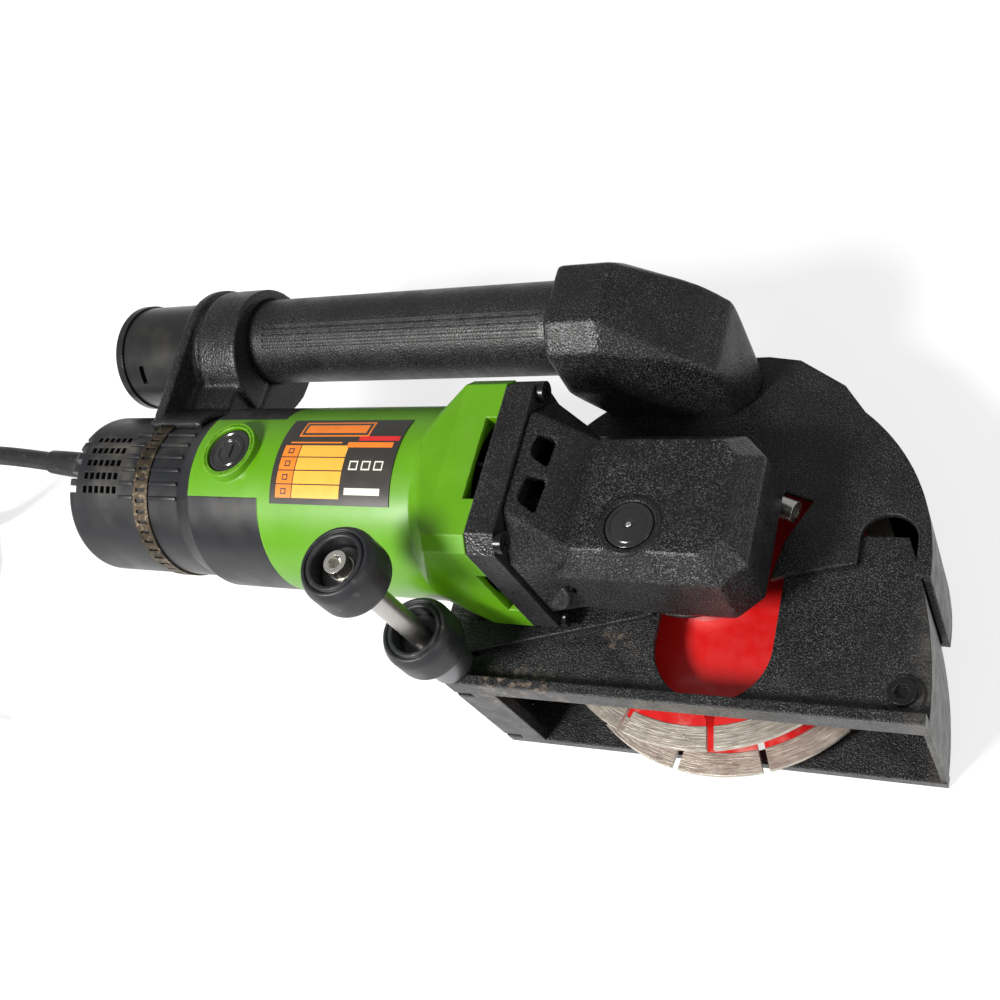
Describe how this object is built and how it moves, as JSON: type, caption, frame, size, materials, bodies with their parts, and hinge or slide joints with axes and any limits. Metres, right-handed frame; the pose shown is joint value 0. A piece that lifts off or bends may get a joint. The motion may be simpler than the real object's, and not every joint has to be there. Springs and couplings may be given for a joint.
{
  "type": "wall chaser",
  "caption": "Hand-held wall chaser: twin diamond discs in a black guard with a swinging shoe, geared motor, duct handle and coiled mains lead.",
  "frame": {"origin": "where the spindle axis meets the flat outer side of the guard, which the tool lies on", "axes": "+Z along the spindle from that side towards the gear head, +X along the motor towards the front of the guard, +Y from the motor towards the tube handle"},
  "size_m": [0.7256, 0.2423, 0.1712],
  "materials": {
    "guard_casting": "black wrinkle paint on cast aluminium",
    "head_casting": "black wrinkle paint on cast aluminium",
    "green_housing": "satin moulded plastic",
    "black_housing": "smooth moulded plastic",
    "tube_plastic": "coarse-textured moulded plastic",
    "outlet_plastic": "smooth plastic with brown dust",
    "bright_steel": "turned and plated steel",
    "bearing_steel": "ground steel",
    "gear_steel": "hardened gear steel, oiled",
    "black_screws": "black oxide steel",
    "bush_bronze": "sintered bronze",
    "disc_red": "red paint on the core, bare diamond segments at the rim",
    "button_plastic": "glossy moulded plastic",
    "laminations": "stacked laminations",
    "copper": "enamelled copper",
    "carbon": "carbon",
    "label": "printed foil with orange and yellow cells",
    "band_steel": "worn steel band",
    "roller_rubber": "smooth rubber",
    "cord_rubber": "flexible rubber",
    "tie_fabric": "woven hook-and-loop strap"
  },
  "bodies": {
    "tool": {"upper_guard": "guard_casting", "hinge_axle": "bright_steel", "axle_sleeve": "bright_steel", "roller_washers": "bright_steel", "roller_bolt": "bright_steel", "guard_clamp_screw": "bright_steel", "gear_case": "head_casting", "neck_flange": "head_casting", "neck_screws": "black_screws", "flange_plate": "head_casting", "flange_screws": "bright_steel", "spindle_bearing": "bearing_steel", "spindle_bush": "bush_bronze", "lock_spring": "bearing_steel", "motor_housing": "green_housing", "rear_sleeve": "black_housing", "rear_cap": "black_housing", "front_bearing": "bearing_steel", "rear_bearing": "bearing_steel", "stator_core": "laminations", "field_coils": "copper", "brush_holders": "bush_bronze", "carbon_brushes": "carbon", "brush_springs": "bearing_steel", "switch_body": "button_plastic", "switch_spring": "bearing_steel", "rating_plate": "label", "band_clamp": "band_steel", "band_screw": "bright_steel", "handle_bracket": "tube_plastic", "bracket_screw": "bright_steel", "handle_tube": "tube_plastic", "dust_outlet": "outlet_plastic", "dust_elbow": "tube_plastic", "strain_relief": "cord_rubber", "cord": "cord_rubber", "cord_coil": "cord_rubber", "cord_tie": "tie_fabric", "plug": "cord_rubber"},
    "spindle_set": {"spindle": "bright_steel", "bevel_gear": "gear_steel", "gear_nut": "bright_steel", "inner_flange": "bright_steel", "disc_spacer": "bright_steel", "disc_near": "disc_red", "disc_far": "disc_red", "disc_nut": "bright_steel"},
    "armature": {"armature_shaft": "bright_steel", "armature_core": "laminations", "armature_winding": "copper", "commutator": "copper", "cooling_fan": "black_housing", "pinion": "gear_steel"},
    "lock": {"lock_button": "button_plastic"},
    "switch": {"switch_button": "button_plastic"},
    "near_wheel": {"roller_near": "roller_rubber"},
    "far_wheel": {"roller_far": "roller_rubber"},
    "swing_shoe": {"shoe": "guard_casting", "shoe_bolt": "black_screws", "shoe_nut": "bright_steel"}
  },
  "joints": [
    {"name": "spindle_spin", "type": "hinge", "parent": "tool", "child": "spindle_set", "pos_m": [0, 0, 0.05], "axis": [0, 0, 1], "continuous": true},
    {"name": "armature_spin", "type": "hinge", "parent": "tool", "child": "armature", "pos_m": [-0.12, 0, 0.1075], "axis": [1, 0, 0], "continuous": true},
    {"name": "lock_press", "type": "slide", "parent": "tool", "child": "lock", "axis": [0, 0, -1], "range_m": [0, 0.0045], "stiffness_N_per_m": 600, "springref_m": -0.003, "deforming": ["lock_spring"]},
    {"name": "switch_press", "type": "slide", "parent": "tool", "child": "switch", "axis": [0, 0, -1], "range_m": [0, 0.003], "stiffness_N_per_m": 800, "springref_m": -0.002, "deforming": ["switch_spring"]},
    {"name": "roller_near_spin", "type": "hinge", "parent": "tool", "child": "near_wheel", "pos_m": [-0.0955, -0.058, 0.16], "axis": [0, 0, 1], "continuous": true},
    {"name": "roller_far_spin", "type": "hinge", "parent": "tool", "child": "far_wheel", "pos_m": [-0.0955, -0.058, 0.1], "axis": [0, 0, 1], "continuous": true},
    {"name": "shoe_swing", "type": "hinge", "parent": "tool", "child": "swing_shoe", "pos_m": [-0.0955, -0.058, 0.034], "axis": [0, 0, 1], "range_deg": [-6.3, 16.5]}
  ],
  "couplings": [
    {"joint": "armature_spin", "follows": "spindle_spin", "ratio": -3.5455}
  ]
}
